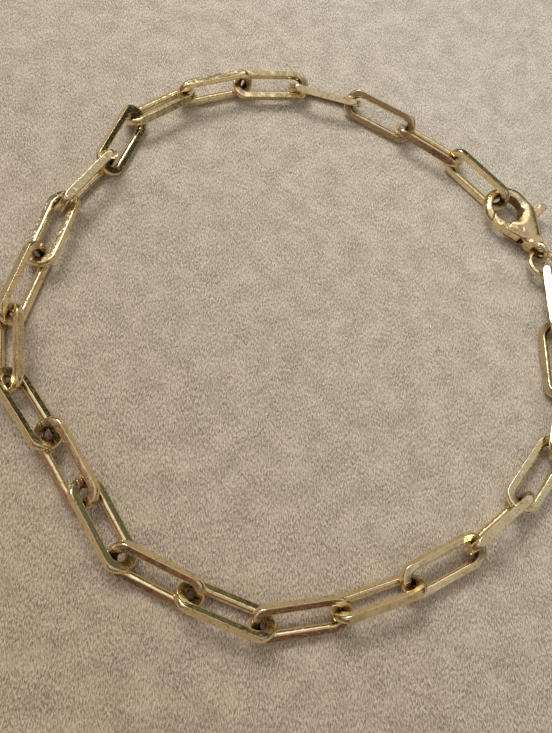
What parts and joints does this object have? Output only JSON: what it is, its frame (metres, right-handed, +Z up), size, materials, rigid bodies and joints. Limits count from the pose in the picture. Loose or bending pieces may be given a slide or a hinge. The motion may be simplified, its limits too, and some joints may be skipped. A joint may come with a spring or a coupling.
{
  "type": "link bracelet",
  "caption": "Closed chain bracelet of long flat-cut oval links with a jump ring and a hook clasp whose sprung lever opens it, lying flat as a loop.",
  "frame": {"origin": "centre of the loop's plan box, on the surface that it lies on", "axes": "+Z up from the surface; +Y along the loop's longer way; +X towards the side with the clasp"},
  "size_m": [0.0586, 0.0614, 0.0033],
  "materials": {
    "gold": "polished yellow gold"
  },
  "bodies": {
    "bracelet": {"link_01": "gold", "link_02": "gold", "link_03": "gold", "link_04": "gold", "link_05": "gold", "link_06": "gold", "link_07": "gold", "link_08": "gold", "link_09": "gold", "link_10": "gold", "link_11": "gold", "link_12": "gold", "link_13": "gold", "link_14": "gold", "link_15": "gold", "link_16": "gold", "link_17": "gold", "link_18": "gold", "link_19": "gold", "link_20": "gold", "link_21": "gold", "link_22": "gold", "link_23": "gold", "link_24": "gold", "link_25": "gold", "jump_ring": "gold", "clasp_body": "gold", "clasp_pin": "gold"},
    "lever": {"clasp_lever": "gold"}
  },
  "joints": [
    {"name": "lever_hinge", "type": "hinge", "parent": "bracelet", "child": "lever", "pos_m": [0.0244, 0.01157, 0.00136], "axis": [-0.0293, 0.0434, -0.9986], "range_deg": [0, 20], "stiffness_Nm_per_rad": 0.01, "springref_deg": -5.73}
  ]
}
